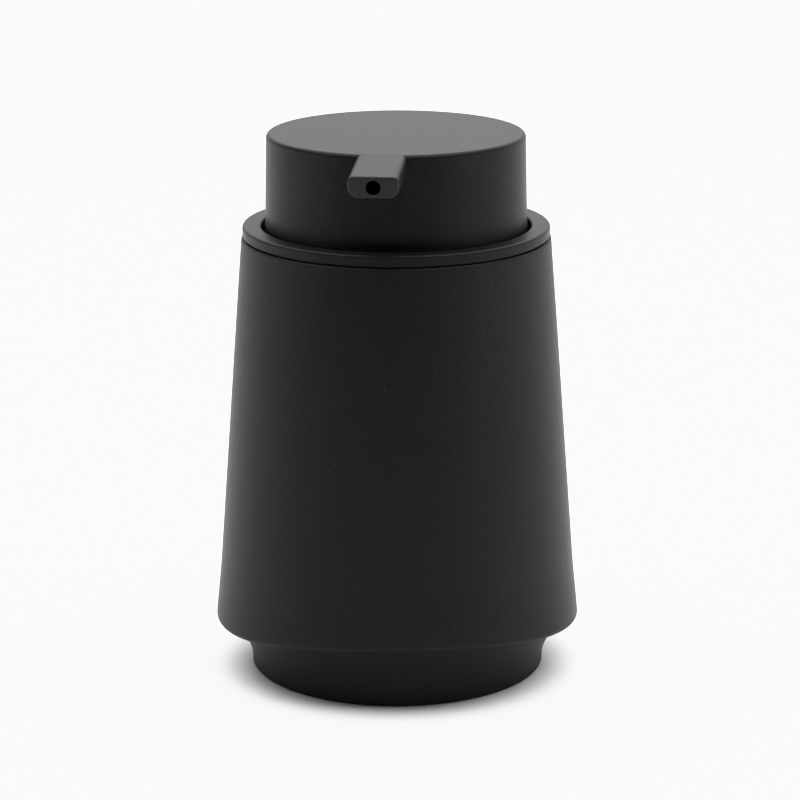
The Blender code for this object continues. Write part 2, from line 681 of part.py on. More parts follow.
def spring_points():
    """The helix's points: a closer turn at each end and even live turns between."""
    turns = 2 * SPRING_END_TURNS + SPRING_LIVE_TURNS
    low = SPRING_BOTTOM + SPRING_WIRE_RADIUS
    high = SPRING_TOP - SPRING_WIRE_RADIUS
    end_rise = SPRING_END_TURNS * SPRING_END_PITCH
    live_pitch = (high - low - 2 * end_rise) / SPRING_LIVE_TURNS
    points = []
    for i in range(turns * SPRING_POINTS_PER_TURN + 1):
        turn = i / SPRING_POINTS_PER_TURN
        live = min(max(turn - SPRING_END_TURNS, 0), SPRING_LIVE_TURNS)
        z = low + (turn - live) * SPRING_END_PITCH + live * live_pitch
        angle = math.tau * turn
        points.append((SPRING_RADIUS * math.cos(angle), SPRING_RADIUS * math.sin(angle), z))
    return points


def report_spring_gap(points):
    """Prints the least gap between two turns of the wire."""
    per_turn = SPRING_POINTS_PER_TURN
    least = min(math.dist(points[i], points[i + per_turn]) for i in range(len(points) - per_turn))
    print(f"spring: least gap between turns {least - 2 * SPRING_WIRE_RADIUS:.5f} m")


def make_spring(parts):
    points = spring_points()
    report_spring_gap(points)
    curve = bpy.data.curves.new("return_spring", "CURVE")
    curve.dimensions = "3D"
    curve.bevel_depth = SPRING_WIRE_RADIUS
    curve.bevel_resolution = 1
    curve.use_fill_caps = True
    spline = curve.splines.new("POLY")
    spline.points.add(len(points) - 1)
    for point, place in zip(spline.points, points):
        point.co = (*place, 1)
    return new_object("return_spring", curve, parts, STEEL)


def make_stem(parts, cutters):
    """The hollow stem: a neck for the piston, a ball chamber over the rod, and a bar that stops the ball."""
    outline = [
        (STEM_BORE_RADIUS, STEM_TOP),
        (STEM_RADIUS, STEM_TOP),
        (STEM_RADIUS, STEM_SHOULDER),
        (STEM_NECK_RADIUS, STEM_SHOULDER),
        (STEM_NECK_RADIUS, STEM_BOTTOM),
        (STEM_BORE_RADIUS, STEM_BOTTOM),
    ]
    stem = turned("stem", outline, parts, PUMP_FACETS, NATURAL_PLASTIC)
    size = (STEM_BORE_RADIUS + STEM_RADIUS, STOP_BAR, STOP_BAR)
    bar = block("stem_bar", size, (0, 0, OUTLET_STOP + STOP_BAR / 2), cutters)
    boolean(stem, bar, "UNION")
    return stem


def cap_outline():
    """The cap's shell: crown, rounded edge, slightly flared side and open underside."""
    ceiling_corner = CAP_TOP_RADIUS - CAP_WALL - CAP_EDGE
    return [
        (0, TOTAL_HEIGHT),
        *arc(CAP_TOP_RADIUS - CAP_EDGE, TOTAL_HEIGHT - CAP_EDGE, CAP_EDGE, 90, 0, CORNER_STEPS + 1),
        *arc(CAP_RIM_RADIUS - CAP_RIM_EDGE, CAP_BOTTOM + CAP_RIM_EDGE, CAP_RIM_EDGE, 0, -90, 2),
        (CAP_INNER_RADIUS, CAP_BOTTOM),
        *arc(ceiling_corner, CAP_CEILING - CAP_EDGE, CAP_EDGE, 0, 90, 2),
        (0, CAP_CEILING),
    ]


def spout_section():
    """The spout's section in (x, z): small upper corners and nearly round lower ones."""
    half = SPOUT_WIDTH / 2
    top, bottom = SPOUT_HEIGHT / 2, -SPOUT_HEIGHT / 2
    upper, lower = SPOUT_TOP_CORNER, SPOUT_BOTTOM_CORNER
    return [
        *arc(half - upper, top - upper, upper, 90, 0, SPOUT_CORNER_STEPS),
        *arc(half - lower, bottom + lower, lower, 0, -90, SPOUT_CORNER_STEPS),
        *arc(lower - half, bottom + lower, lower, -90, -180, SPOUT_CORNER_STEPS),
        *arc(upper - half, top - upper, upper, 180, 90, SPOUT_CORNER_STEPS),
    ]


def place_on_spout(obj, along):
    """Turns an object's Z axis to the spout's, which slopes down from the cap's edge, and moves it along."""
    slope_sin, slope_cos = math.sin(SPOUT_SLOPE), math.cos(SPOUT_SLOPE)
    half = SPOUT_HEIGHT / 2
    obj.rotation_euler.x = math.pi / 2 + SPOUT_SLOPE
    obj.location.y = half * slope_sin - CAP_TOP_RADIUS - along * slope_cos
    obj.location.z = SPOUT_TOP - half * slope_cos - along * slope_sin


def make_spout(cutters):
    """The spout's bar, its section extruded from within the cap's side, with rounded ends, as a mesh."""
    curve = bpy.data.curves.new("spout_bar", "CURVE")
    curve.dimensions = "2D"
    curve.fill_mode = "BOTH"
    curve.extrude = (SPOUT_LENGTH + SPOUT_SEAT) / 2 - SPOUT_END_EDGE
    curve.bevel_depth = SPOUT_END_EDGE
    curve.bevel_resolution = 1
    curve.offset = -SPOUT_END_EDGE
    spline = curve.splines.new("POLY")
    section = spout_section()
    spline.points.add(len(section) - 1)
    for point, (x, z) in zip(spline.points, section):
        point.co = (x, z, 0, 1)
    spline.use_cyclic_u = True
    guide = new_object("spout_guide", curve, cutters)
    place_on_spout(guide, (SPOUT_LENGTH - SPOUT_SEAT) / 2)
    return mesh_of_curve(guide, "spout_bar", cutters)


def mesh_of_curve(guide, name, collection):
    """A mesh object with welded caps in place of a curve object, so that a Boolean can use it."""
    bpy.context.view_layer.update()
    graph = bpy.context.evaluated_depsgraph_get()
    mesh = bpy.data.meshes.new_from_object(guide.evaluated_get(graph))
    shape = bmesh.new()
    shape.from_mesh(mesh)
    bmesh.ops.remove_doubles(shape, verts=shape.verts, dist=MERGE)
    bmesh.ops.recalc_face_normals(shape, faces=shape.faces)
    shape.to_mesh(mesh)
    shape.free()
    obj = new_object(name, mesh, collection)
    obj.matrix_world = guide.matrix_world
    bpy.data.objects.remove(guide, do_unlink=True)
    return obj


def make_cap(parts, cutters):
    cap = turned("head_cap", cap_outline(), parts, VISIBLE_FACETS, SOFT_TOUCH, closed=False)
    boss_radius = CHANNEL_SOCKET_RADIUS + BOSS_WALL
    boss_root = CAP_TOP_RADIUS - CAP_WALL / 2
    boss = cylinder(
        "channel_boss", boss_radius, -boss_root, -BOSS_END, cutters, PUMP_FACETS, "Y", (0, CHANNEL_CENTRE)
    )
    ring_inner = CORE_RADIUS + FIT_GAP
    ring_outer = ring_inner + LOCATING_RING_WALL
    ring_bottom = CAP_CEILING - LOCATING_RING_DEPTH
    ring_top = CAP_CEILING + CAP_CROWN / 2
    ring_outline = [
        (ring_inner, ring_top),
        (ring_outer, ring_top),
        (ring_outer, ring_bottom),
        (ring_inner, ring_bottom),
    ]
    ring = turned("locating_ring", ring_outline, cutters, PUMP_FACETS)
    slot_bottom = ring_bottom - OVERRUN
    slot_width = 2 * (CHANNEL_RADIUS + FIT_GAP)
    slot_size = (slot_width, 2 * ring_outer, CAP_CEILING - slot_bottom)
    slot_centre = (0, -ring_outer, (CAP_CEILING + slot_bottom) / 2)
    slot = block("ring_slot", slot_size, slot_centre, cutters)
    socket = cylinder(
        "channel_socket",
        CHANNEL_SOCKET_RADIUS,
        -(CHANNEL_END + SEAT_GAP),
        -(BOSS_END - OVERRUN),
        cutters,
        PUMP_FACETS,
        "Y",
        (0, CHANNEL_CENTRE),
    )
    bore_start = CHANNEL_END - SPOUT_BORE_RADIUS / 2 - CAP_TOP_RADIUS
    bore_end = SPOUT_LENGTH + OVERRUN
    bore = cylinder("spout_bore", SPOUT_BORE_RADIUS, bore_start, bore_end, cutters, PUMP_FACETS)
    place_on_spout(bore, (bore_start + bore_end) / 2)
    boolean(ring, slot, "DIFFERENCE")
    for other, operation in (
        (make_spout(cutters), "UNION"),
        (boss, "UNION"),
        (ring, "UNION"),
        (socket, "DIFFERENCE"),
        (bore, "DIFFERENCE"),
    ):
        boolean(cap, other, operation)
    return cap


def make_core(parts, cutters):
    """The moulding under the crown: a socket on the stem and a channel that plugs into the boss."""
    passage_top = CHANNEL_CENTRE
    outline = [
        (0, CORE_TOP),
        (CORE_RADIUS, CORE_TOP),
        (CORE_RADIUS, CORE_BOTTOM),
        (STEM_HOLE_RADIUS, CORE_BOTTOM),
        (STEM_HOLE_RADIUS, CORE_SOCKET_TOP),
        (STEM_BORE_RADIUS, CORE_SOCKET_TOP),
        (STEM_BORE_RADIUS, passage_top),
        (0, passage_top),
    ]
    core = turned("outlet_core", outline, parts, PUMP_FACETS, NATURAL_PLASTIC, closed=False)
    middle = (0, CHANNEL_CENTRE)
    start = -CORE_RADIUS + CHANNEL_RADIUS
    tube = cylinder("channel_tube", CHANNEL_RADIUS, -CHANNEL_END, start, cutters, PUMP_FACETS, "Y", middle)
    bore = cylinder(
        "channel_bore", CHANNEL_BORE_RADIUS, -(CHANNEL_END + OVERRUN), 0, cutters, PUMP_FACETS, "Y", middle
    )
    boolean(core, tube, "UNION")
    boolean(core, bore, "DIFFERENCE")
    return core


def new_joint(name, parent, height, collection):
    """An empty on the dispenser's axis, where a joint carries its pieces."""
    empty = bpy.data.objects.new(name, None)
    empty.location.z = height
    collection.objects.link(empty)
    if parent:
        attach(empty, parent)
    return empty


def attach(obj, parent):
    bpy.context.view_layer.update()
    obj.parent = parent
    obj.matrix_parent_inverse = parent.matrix_world.inverted()


def smooth(obj):
    """Applies a piece's modifiers and shades it smooth up to its real edges."""
    if obj.type != "MESH":
        return
    bake(obj)
    obj.data.shade_smooth()
    obj.data.set_sharp_from_angle(angle=SMOOTH_ANGLE)


def build():
    clear_scene()
    parts = new_collection("soap_dispenser")
    cutters = new_collection("cutters")
    vessel_group = make_vessel(parts)
    lid_group = [
        make_collar_ring(parts),
        make_well(parts),
        make_mouth_seal(parts),
        make_housing(parts),
        make_gasket(parts),
        make_nut(parts, cutters),
        make_guide(parts),
        make_wiper(parts),
        make_cage(parts, cutters),
        make_dip_tube(parts, cutters),
        make_spring(parts),
    ]
    piston_group = [make_piston(parts)]
    head_group = [
        make_stem(parts, cutters),
        make_rod(parts),
        make_cap(parts, cutters),
        make_core(parts, cutters),
    ]
    inlet_ball = make_ball("inlet_ball", INLET_BALL_RADIUS, INLET_BALL_CENTRE, parts)
    outlet_ball = make_ball("outlet_ball", OUTLET_BALL_RADIUS, OUTLET_BALL_CENTRE, parts)
    vessel = new_joint("vessel", None, 0, parts)
    lid = new_joint("refill_lift", vessel, LIP_TOP, parts)
    piston = new_joint("press", lid, PISTON_TOP, parts)
    head = new_joint("swivel", piston, STEM_SHOULDER, parts)
    groups = (
        (vessel, vessel_group),
        (lid, [*lid_group, inlet_ball]),
        (piston, piston_group),
        (head, [*head_group, outlet_ball]),
    )
    for parent, pieces in groups:
        for piece in pieces:
            smooth(piece)
            attach(piece, parent)


build()
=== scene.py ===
"""Counter-top soap dispenser: fine surfaces, finishes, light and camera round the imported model."""

import json
import math

import bmesh
import bpy
from mathutils import Matrix


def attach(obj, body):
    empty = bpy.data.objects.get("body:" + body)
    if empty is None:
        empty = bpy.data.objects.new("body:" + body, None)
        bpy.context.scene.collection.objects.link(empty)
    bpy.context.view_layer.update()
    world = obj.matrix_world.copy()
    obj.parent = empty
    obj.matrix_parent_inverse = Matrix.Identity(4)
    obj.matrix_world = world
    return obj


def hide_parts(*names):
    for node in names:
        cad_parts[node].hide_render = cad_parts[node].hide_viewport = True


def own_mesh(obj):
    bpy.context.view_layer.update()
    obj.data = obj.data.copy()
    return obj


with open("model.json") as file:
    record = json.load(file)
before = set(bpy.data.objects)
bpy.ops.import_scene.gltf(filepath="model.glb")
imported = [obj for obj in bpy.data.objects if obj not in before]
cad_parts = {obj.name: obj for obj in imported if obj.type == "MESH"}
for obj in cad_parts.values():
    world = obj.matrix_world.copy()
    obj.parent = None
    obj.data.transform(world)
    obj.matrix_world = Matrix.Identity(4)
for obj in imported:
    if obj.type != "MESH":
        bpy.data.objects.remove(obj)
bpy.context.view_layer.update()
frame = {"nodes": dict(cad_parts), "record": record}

# Sizes in metres. They are the model's but for the ring's rounder edge, the sink mark in the head,
# and the rounded tips of the seal's lips.
MERGE = 0.00001
OVERRUN = 0.002
FIT_GAP = 0.0003
SEAT_GAP = 0.0001
SLIDE_GAP = 0.0001
TOTAL_HEIGHT = 0.1275
PAD_RADIUS, PAD_THICKNESS, PAD_EDGE = 0.031, 0.002, 0.0003
FOOT_BOTTOM = 0.0001
LIP_TOP = 0.1032
LIP_RADIUS = 0.03594
LIP_EDGE = 0.0005
EDGE_HEIGHT = 0.01345
EDGE_RADIUS = 0.04295
EDGE_FLARE = 0.0003
FLARE_TOP = 0.028
EDGE_ROUND = 0.00135
EDGE_ARCH = 0.0025
EDGE_ARCH_TURN = math.radians(10)
ARCH_FADE_TOP = 0.045
FOOT_RADIUS = 0.0346
FOOT_EDGE = 0.0004
UNDERCUT_WIDTH = 0.001
COVE_BOTTOM = 0.001
COVE_TOP = 0.01385
COVE_TURN = math.radians(50)
VESSEL_WALL = 0.0034
FLOOR_TOP = 0.0065
FLOOR_FILLET = 0.007
STEP_RISE = 0.0075
MOUTH_RADIUS = 0.0332
MOUTH_LAND = 0.0095
MOUTH_CHAMFER = 0.0004
PAD_RECESS_RADIUS = PAD_RADIUS + FIT_GAP
PAD_RECESS_TOP = PAD_THICKNESS + FIT_GAP
TAPER_SLOPE = (EDGE_RADIUS - EDGE_FLARE - LIP_RADIUS) / (LIP_TOP - EDGE_HEIGHT)
COLLAR_RADIUS = 0.03563
COLLAR_INNER_RADIUS = 0.0312
COLLAR_BOTTOM = 0.1038
COLLAR_TOP = 0.1061
COLLAR_PLATE_BOTTOM = 0.1051
COLLAR_SKIRT = 0.0005
COLLAR_EDGE = 0.0006
CAP_TOP_RADIUS = 0.02987
CAP_RIM_RADIUS = 0.03044
CAP_BOTTOM = 0.101
CAP_EDGE = 0.001
CAP_WALL = 0.0018
CAP_CEILING = 0.1255
CAP_RIM_EDGE = 0.0004
SINK_INNER_RADIUS, SINK_OUTER_RADIUS, SINK_DEPTH = 0.002, 0.0029, 0.00002
SPOUT_REACH = 0.0463
SPOUT_WIDTH = 0.0112
SPOUT_HEIGHT = 0.0049
SPOUT_TOP = 0.12738
SPOUT_SLOPE = math.radians(5.2)
SPOUT_SEAT = 0.0013
SPOUT_LENGTH = (SPOUT_REACH - CAP_TOP_RADIUS) / math.cos(SPOUT_SLOPE)
SPOUT_TOP_CORNER = 0.00125
SPOUT_BOTTOM_CORNER = 0.0023
SPOUT_END_EDGE = 0.00045
SPOUT_BORE_RADIUS = 0.00165
CHANNEL_CENTRE = 0.12318
CHANNEL_END = 0.02757
CHANNEL_SOCKET_RADIUS = 0.0021
BOSS_WALL = 0.0009
BOSS_END = 0.02057
RING_INNER_RADIUS, RING_OUTER_RADIUS, RING_DEPTH = 0.0055, 0.0067, 0.003
WELL_INNER_RADIUS, WELL_OUTER_RADIUS, WELL_FLANGE_RADIUS = 0.0312, 0.0324, 0.03503
WELL_FLOOR_TOP, WELL_FLOOR_BOTTOM = 0.088, 0.0865
WELL_CORNER, WELL_INNER_CORNER = 0.0012, 0.0009
SEAL_INNER_RADIUS, SEAL_SLEEVE_RADIUS = 0.0325, 0.0328
SEAL_LIP_RADIUS, SEAL_FLANGE_RADIUS = 0.0331, 0.0349
SEAL_FLANGE_TOP, SEAL_FLANGE_BOTTOM, SEAL_LENGTH = 0.1037, 0.1033, 0.0095
SEAL_LIPS, SEAL_LIP_HEIGHT, SEAL_LIP_EDGE = 3, 0.0012, 0.0001
BARREL_BORE_RADIUS, BARREL_RADIUS, BARREL_FLOOR = 0.0056, 0.0068, 0.052
HOUSING_TOP, HOUSING_FLANGE_BOTTOM, HOUSING_FLANGE_RADIUS = 0.0907, 0.0892, 0.0105
CHAMBER_RADIUS, CHAMBER_WALL = 0.0029, 0.0012
INLET_HOLE_RADIUS, INLET_SEAT_APEX = 0.0014, 0.045227
SOCKET_TOP, SOCKET_DEPTH, SOCKET_WALL = 0.045427, 0.0075, 0.0012
TUBE_RADIUS, TUBE_BORE_RADIUS, TUBE_SOCKET_RADIUS = 0.0025, 0.0017, 0.0026
TUBE_TOP, TUBE_END_HEIGHT, TUBE_CUT = 0.045327, 0.0095, math.radians(30)
SPRING_BOTTOM, SPRING_TOP = 0.0534, 0.0754
SPRING_WIRE_RADIUS, SPRING_RADIUS = 0.0004, 0.0037
SPRING_END_PITCH, SPRING_END_TURNS, SPRING_LIVE_TURNS = 0.00125, 1, 7

# Facets and steps of the fine surfaces, the heights of two more rings in the vessel's wall, and the
# angles in degrees over which a corner stays sharp
ROUND_FACETS = 288
SMALL_FACETS = 96
CORNER_STEPS = 10
SMALL_CORNER_STEPS = 6
PAD_CORNER_STEPS = 4
CAP_CORNER_STEPS = 12
EDGE_ROUND_STEPS = 14
COVE_STEPS = 24
FADE_STEPS = 16
WALL_HEIGHTS = (0.085, 0.065)
SPOUT_BEVEL_STEPS = 4
WIRE_BEVEL_STEPS = 3
WIRE_STEPS_PER_TURN = 40
FINE_SHARP_ANGLE = 28
MODEL_SHARP_ANGLE = 32

# The photograph's camera: 800 x 800 pixels
CAMERA_DISTANCE = 0.7046
CAMERA_HEIGHT = 0.2543
CAMERA_AZIMUTH = math.radians(6.2)
CAMERA_YAW = math.radians(-0.0633)
CAMERA_PITCH = math.radians(15.14)
CAMERA_ROLL = math.radians(-0.139)
FOCAL_PIXELS = 3105.9
FRAME_PIXELS = 800
SENSOR_MM = 36
CLIP_START, CLIP_END = 0.01, 50

# The view curve as (light, shown) pairs, up to the white level
WHITE_LEVEL = 2.0
WHITE_SHOULDER = (
    (0, 0),
    (0.18, 0.18),
    (0.3, 0.33),
    (0.5, 0.57),
    (0.75, 0.82),
    (0.95, 0.92),
    (1.2, 0.95),
    (1.6, 0.958),
    (2, 0.96),
)

# The light round the object: ramps of its strength along a direction's x, y or z, each with its
# start, its end and the strength at both. The ramps of a set are multiplied. Then the lamp, and the
# floor with the distances between which its glow grows.
SIDE_BOXES = (
    ("Y", -0.65, -0.45, 0, 1),
    ("Y", -0.4, 0.4, 2.35, 2.0),
    ("Z", -0.05, 0.42, 1, 0),
    ("X", -1, 1, 0.84, 1.14),
)
HIGH_BOX = (
    ("Y", 0.5, 0.7, 0, 1),
    ("Z", 0.24, 0.5, 0, 4.1),
    ("Z", 0.76, 0.86, 1, 0),
)
BACKDROP = 1.5
LAMP_PLACE, LAMP_SIZE, LAMP_POWER = (0, 0.02, 1.6), (3.4, 1.6), 78
FLOOR_SIZE, FLOOR_FRONT = 6, 0.5
FLOOR_GLOW, FLOOR_GLOW_REACH = 1.4, (0.7, 2.6)
PAPER_CLOUD_SCALE, PAPER_SHADE, PAPER_COLOUR = 6, (0.83, 0.83, 0.83), (0.85, 0.85, 0.85)

# Finishes: noise scales per metre, depths and reaches in metres, roughness ranges to either side
NOISE_LOW, NOISE_HIGH = 0.3, 0.7
COAT_CLOUD_SCALE, COAT_GRAIN_SCALE, COAT_ROUGH_SCALE, COAT_BUMP_SCALE = 55, 2600, 2300, 2800
COAT_GRAIN_SHARE, COAT_GRAIN_COLOUR = 0.32, (0.017, 0.017, 0.0173)
COAT_ROUGH_RANGE, COAT_BUMP_ROUGHNESS = 0.03, 0.6
COAT_BUMP_DEPTH, COAT_BUMP_STRENGTH = 0.00005, 0.8
DUST_SCALE, DUST_SIZE, DUST_COLOUR = 700, 0.1, (0.035, 0.035, 0.036)
# Painted light: the colour and blend that paint the spout's end face and its rounded rim paler,
# standing in for light falling on them
PAINTED_END_LIGHT_BLEND, PAINTED_END_LIGHT_COLOUR = 0.0001, (0.021, 0.021, 0.0213)
PLASTIC_CLOUD_SCALE, PLASTIC_ROUGH_SCALE = 70, 400
PLASTIC_ROUGH_RANGE, PLASTIC_BUMP_STRENGTH = 0.05, 0.5
NATURAL_CLOUD_SCALE, NATURAL_ROUGH_SCALE, NATURAL_ROUGH_RANGE = 90, 600, 0.06
NATURAL_SUBSURFACE, NATURAL_SUBSURFACE_REACH = 0.15, 0.002
NATURAL_BUMP_SCALE, NATURAL_BUMP_DEPTH, NATURAL_BUMP_STRENGTH = 1500, 0.00001, 0.4
STEEL_CLOUD_SCALE, STEEL_ROUGH_SCALE, STEEL_ROUGHNESS = 400, 1800, (0.18, 0.32)
STEEL_SHADE, STEEL_COLOUR = (0.5, 0.5, 0.51), (0.66, 0.66, 0.67)
STEEL_BUMP_SCALE, STEEL_BUMP_DEPTH, STEEL_BUMP_STRENGTH = 4000, 0.000005, 0.4


def arc(centre_r, centre_z, radius, start, end, steps=CORNER_STEPS):
    """The points of an arc in an outline, from one angle in degrees to another."""
    angles = [math.radians(start + (end - start) * i / steps) for i in range(steps + 1)]
    return [(centre_r + radius * math.cos(a), centre_z + radius * math.sin(a)) for a in angles]


def new_object(name, data):
    obj = bpy.data.objects.new(name, data)
    bpy.context.scene.collection.objects.link(obj)
    return obj


def mesh_by(operator, name, **settings):
    """A mesh that one bmesh operator makes."""
    mesh = bpy.data.meshes.new(name)
    shape = bmesh.new()
    operator(shape, **settings)
    shape.to_mesh(mesh)
    shape.free()
    return mesh


def evaluated_mesh(obj):
    """A new mesh of an object, as its modifiers or its curve settings make it."""
    bpy.context.view_layer.update()
    graph = bpy.context.evaluated_depsgraph_get()
    return bpy.data.meshes.new_from_object(obj.evaluated_get(graph))


def turned(name, outline, facets=ROUND_FACETS, closed=True):
    """A turned piece. The outline runs down its outer side; an open one's ends lie on the axis."""
    count = len(outline)
    edges = [(i, (i + 1) % count) for i in range(count if closed else count - 1)]
    mesh = bpy.data.meshes.new(name)
    mesh.from_pydata([(r, 0, z) for r, z in outline], edges, [])
    obj = new_object(name, mesh)
    screw = obj.modifiers.new("turn", "SCREW")
    screw.steps = screw.render_steps = facets
    screw.use_merge_vertices = True
    screw.merge_threshold = MERGE
    bake(obj)
    return obj


def bake(obj):
    """Replaces a piece's mesh by the one that its modifiers make."""
    mesh = evaluated_mesh(obj)
    mesh.name = obj.name
    obj.modifiers.clear()
    obj.data = mesh


def cylinder(name, radius, start, end, height=None):
    """A cylinder along -Y from start to end at a height, or about its own middle along Z."""
    size = {"segments": SMALL_FACETS, "radius1": radius, "radius2": radius, "depth": end - start}
    obj = new_object(name, mesh_by(bmesh.ops.create_cone, name, cap_ends=True, **size))
    if height is not None:
        obj.rotation_euler.x = math.pi / 2
        obj.location = (0, -(start + end) / 2, height)
    return obj


def boolean(obj, other, operation):
    """Applies one Boolean and removes the other object."""
    modifier = obj.modifiers.new(other.name, "BOOLEAN")
    modifier.operation = operation
    modifier.object = other
    bake(obj)
    bpy.data.objects.remove(other, do_unlink=True)


def smooth(obj, degrees):
    """Smooth shading, with corners over an angle left sharp."""
    obj.data.shade_smooth()
    obj.data.set_sharp_from_angle(angle=math.radians(degrees))


def shade(obj):
    """Smooth shading of a fine piece, in which large faces keep their own direction."""
    smooth(obj, FINE_SHARP_ANGLE)
    weighted = obj.modifiers.new("normals", "WEIGHTED_NORMAL")
    weighted.keep_sharp = True
    bake(obj)


# Vessel

def wall_radius(height):
    """The vessel's outer radius at a height: the taper and, below FLARE_TOP, the flare."""
    share = min(1, max(0, (FLARE_TOP - height) / (FLARE_TOP - EDGE_HEIGHT)))
    flare = EDGE_FLARE * share * share * (3 - 2 * share)
    return LIP_RADIUS + TAPER_SLOPE * (LIP_TOP - height) + flare


def edge_centre():
    """The middle of the lower edge's rounding, as a radius and a height."""
    height = EDGE_HEIGHT + EDGE_ROUND
    return wall_radius(height) - EDGE_ROUND, height


def foot_cove():
    """The foot's side, which flares outward in one long curve up to the lower edge's undercut."""
    width = edge_centre()[0] - UNDERCUT_WIDTH - FOOT_RADIUS
    turns = [COVE_TURN * (1 - i / COVE_STEPS) for i in range(COVE_STEPS + 1)]
    return [
        (
            FOOT_RADIUS + width * (1 - math.cos(turn)) / (1 - math.cos(COVE_TURN)),
            COVE_BOTTOM + (COVE_TOP - COVE_BOTTOM) * math.sin(turn) / math.sin(COVE_TURN),
        )
        for turn in turns
    ]


def vessel_outline():
    """The vessel's outline, from the middle of its floor over the lip to the middle underneath."""
    foot_inner = FOOT_RADIUS - VESSEL_WALL
    step_bottom = COVE_TOP + EDGE_ARCH
    step_top = step_bottom + STEP_RISE
    wall_inner = wall_radius(step_top) - VESSEL_WALL
    land_bottom = LIP_TOP - MOUTH_LAND
    shoulder = land_bottom - 2 * VESSEL_WALL
    edge_radius, edge_top = edge_centre()
    fade = [ARCH_FADE_TOP + (edge_top - ARCH_FADE_TOP) * i / FADE_STEPS for i in range(FADE_STEPS)]
    return [
        (0, FLOOR_TOP),
        *arc(foot_inner - FLOOR_FILLET, FLOOR_TOP + FLOOR_FILLET, FLOOR_FILLET, -90, 0),
        (foot_inner, step_bottom),
        (wall_inner, step_top),
        (wall_radius(shoulder) - VESSEL_WALL, shoulder),
        (MOUTH_RADIUS, land_bottom),
        (MOUTH_RADIUS, LIP_TOP - MOUTH_CHAMFER),
        (MOUTH_RADIUS + MOUTH_CHAMFER, LIP_TOP),
        *arc(LIP_RADIUS - LIP_EDGE, LIP_TOP - LIP_EDGE, LIP_EDGE, 90, 0),
        *[(wall_radius(z), z) for z in (*WALL_HEIGHTS, *fade)],
        *arc(edge_radius, edge_top, EDGE_ROUND, 0, -90, EDGE_ROUND_STEPS),
        *foot_cove(),
        *arc(FOOT_RADIUS - FOOT_EDGE, FOOT_BOTTOM + FOOT_EDGE, FOOT_EDGE, 0, -90),
        (PAD_RECESS_RADIUS, FOOT_BOTTOM),
        (PAD_RECESS_RADIUS, PAD_RECESS_TOP),
        (0, PAD_RECESS_TOP),
    ]


def arch_share(radius, height):
    """How much of the lower edge's arch a point of the outline takes, from 0 to 1."""
    edge_radius, edge_top = edge_centre()
    if radius < FOOT_RADIUS - MERGE or height > ARCH_FADE_TOP:
        return 0
    if height < COVE_TOP + MERGE and radius < edge_radius - UNDERCUT_WIDTH + MERGE:
        return max(0, (height - COVE_BOTTOM) / (COVE_TOP - COVE_BOTTOM))
    if height > COVE_TOP + MERGE and radius < wall_radius(height) - VESSEL_WALL / 2:
        return 0
    return min(1, (ARCH_FADE_TOP - height) / (ARCH_FADE_TOP - edge_top))


def arch_lower_edge(obj):
    """Lifts the lower edge at the front and back and drops it at the sides, along the taper."""
    for vertex in obj.data.vertices:
        x, y, z = vertex.co
        radius = math.hypot(x, y)
        share = arch_share(radius, z)
        if share == 0:
            continue
        turn = math.atan2(x, -y) - EDGE_ARCH_TURN
        lift = EDGE_ARCH * share * math.cos(2 * turn)
        on_wall = z > COVE_TOP + MERGE or radius > wall_radius(z) - EDGE_ROUND
        stretch = (radius - TAPER_SLOPE * lift) / radius if on_wall else 1
        vertex.co = (x * stretch, y * stretch, z + lift)


def make_vessel():
    """Wall, undercut, cove and foot in one."""
    vessel = turned("vessel_shell", vessel_outline(), closed=False)
    arch_lower_edge(vessel)
    shade(vessel)
    return vessel


def make_pad():
    """The rubber pad under the foot."""
    outline = [
        (0, PAD_THICKNESS),
        *arc(PAD_RADIUS - PAD_EDGE, PAD_THICKNESS - PAD_EDGE, PAD_EDGE, 90, 0, PAD_CORNER_STEPS),
        *arc(PAD_RADIUS - PAD_EDGE, PAD_EDGE, PAD_EDGE, 0, -90, PAD_CORNER_STEPS),
        (0, 0),
    ]
    pad = turned("foot_pad", outline, closed=False)
    shade(pad)
    return pad


# Lid and head

def make_collar():
    """The trim ring: a plate with rounded edges and a thin skirt."""
    skirt_inner = COLLAR_RADIUS - COLLAR_SKIRT
    outline = [
        (COLLAR_INNER_RADIUS, COLLAR_PLATE_BOTTOM),
        *arc(COLLAR_INNER_RADIUS + COLLAR_EDGE, COLLAR_TOP - COLLAR_EDGE, COLLAR_EDGE, 180, 90),
        *arc(COLLAR_RADIUS - COLLAR_EDGE, COLLAR_TOP - COLLAR_EDGE, COLLAR_EDGE, 90, 0),
        (COLLAR_RADIUS, COLLAR_BOTTOM),
        (skirt_inner, COLLAR_BOTTOM),
        (skirt_inner, COLLAR_PLATE_BOTTOM),
    ]
    collar = turned("trim_ring", outline)
    shade(collar)
    return collar


def spout_section():
    """The spout's section in (x, z): small upper corners and nearly round lower ones."""
    half = SPOUT_WIDTH / 2
    top, bottom = SPOUT_HEIGHT / 2, -SPOUT_HEIGHT / 2
    upper, lower = SPOUT_TOP_CORNER, SPOUT_BOTTOM_CORNER
    return [
        *arc(half - upper, top - upper, upper, 90, 0),
        *arc(half - lower, bottom + lower, lower, 0, -90),
        *arc(lower - half, bottom + lower, lower, -90, -180),
        *arc(upper - half, top - upper, upper, 180, 90),
    ]


def place_on_spout(obj, along):
    """Turns an object's Z axis to the sloping spout's and moves it out along that axis."""
    slope_sin, slope_cos = math.sin(SPOUT_SLOPE), math.cos(SPOUT_SLOPE)
    half = SPOUT_HEIGHT / 2
    obj.rotation_euler.x = math.pi / 2 + SPOUT_SLOPE
    obj.location.y = half * slope_sin - CAP_TOP_RADIUS - along * slope_cos
    obj.location.z = SPOUT_TOP - half * slope_cos - along * slope_sin


